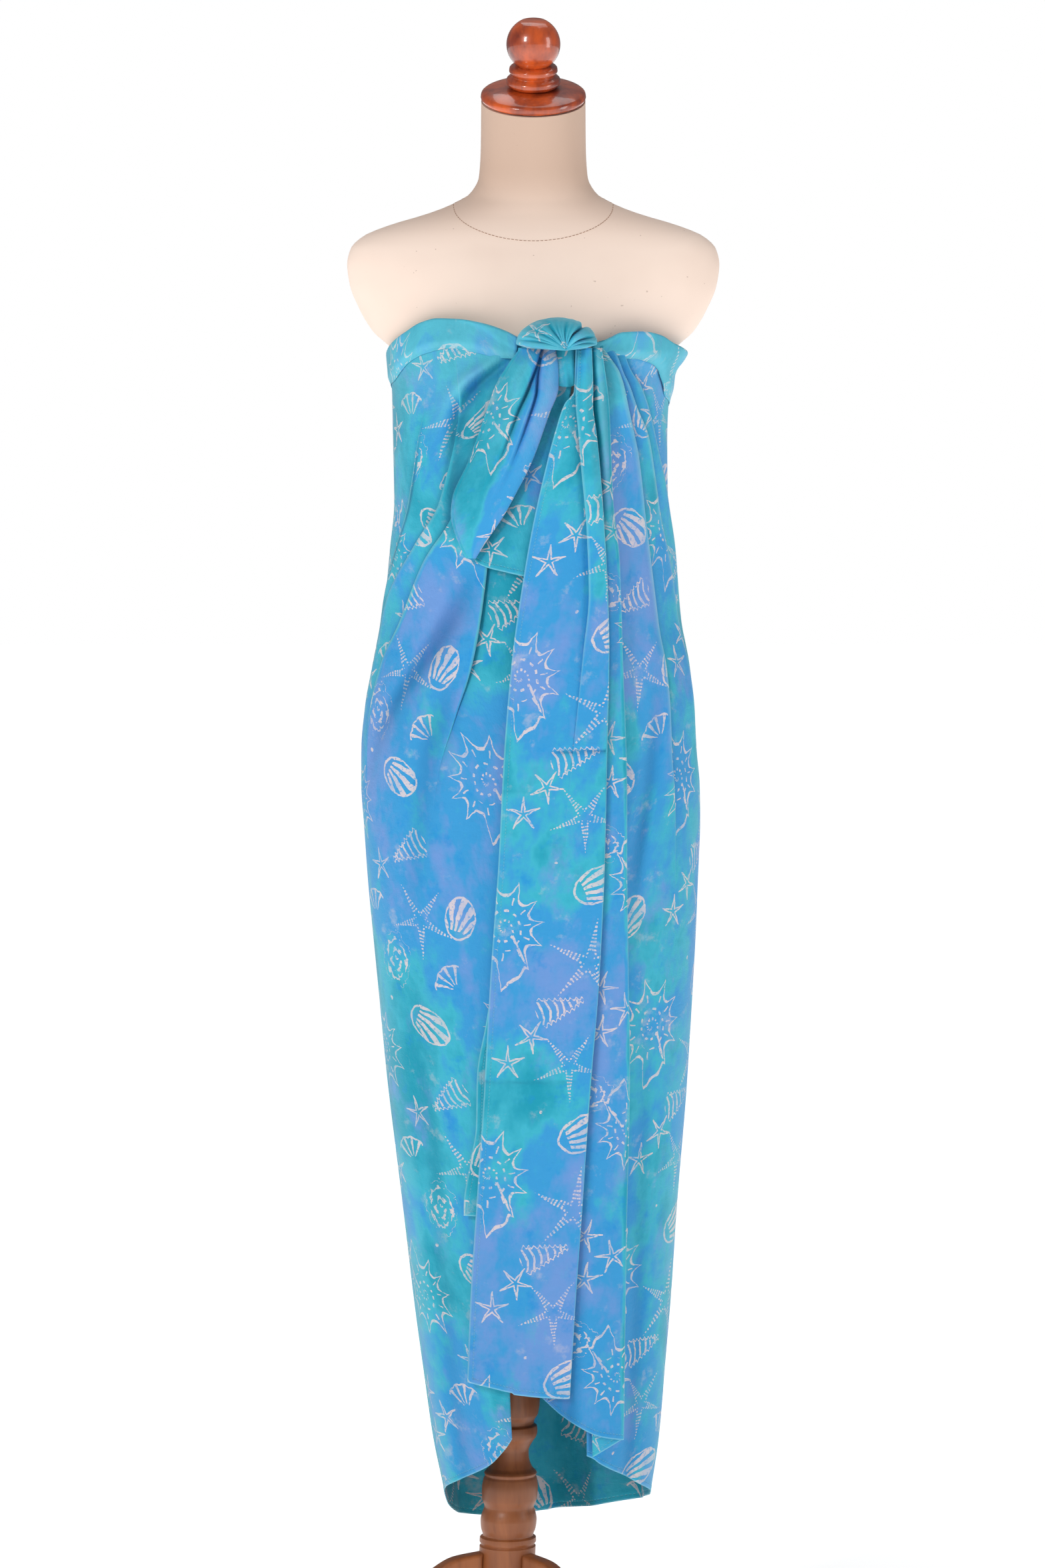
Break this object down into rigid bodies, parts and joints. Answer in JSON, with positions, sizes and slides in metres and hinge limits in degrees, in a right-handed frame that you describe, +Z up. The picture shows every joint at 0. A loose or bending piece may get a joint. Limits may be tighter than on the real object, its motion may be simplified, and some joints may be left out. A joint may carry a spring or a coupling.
{
  "type": "batik sarong on limbless dress form and turned wooden stand",
  "caption": "Ankle-length wrap of hand-dyed cloth with wax-resist shells and stars, knotted over the bust of a limbless dress form on a turned tripod stand.",
  "frame": {"origin": "on the floor, under the middle of the whole part's bounding box", "axes": "+Z up, -Y towards the viewer of the knot and front panel, +X to that viewer's right"},
  "size_m": [0.457, 0.4232, 1.6733],
  "materials": {
    "batik_cloth": "fine plain-woven cloth, mottled turquoise and sky blue dye with off-white wax-resist motifs, soft low sheen",
    "form_cover": "taut ivory jersey cover, matt, with a stitched collar line",
    "lacquered_wood": "orange-brown turned wood under gloss lacquer",
    "stand_wood": "turned mid-brown wood, satin"
  },
  "bodies": {
    "root": {"left_front": "batik_cloth", "back": "batik_cloth", "right_front": "batik_cloth", "front_panel": "batik_cloth", "front_pleat": "batik_cloth", "inner_tail": "batik_cloth", "left_tie_back": "batik_cloth", "left_tie_roll": "batik_cloth", "knot_wrap": "batik_cloth", "knot_loop": "batik_cloth", "top_fold_left": "batik_cloth", "top_fold_right": "batik_cloth", "top_fold_back": "batik_cloth", "dress_form": "form_cover", "neck_cap": "lacquered_wood", "finial": "lacquered_wood", "hip_plate": "stand_wood", "stand_column": "stand_wood", "stand_leg_1": "stand_wood", "stand_leg_2": "stand_wood", "stand_leg_3": "stand_wood"}
  },
  "joints": []
}
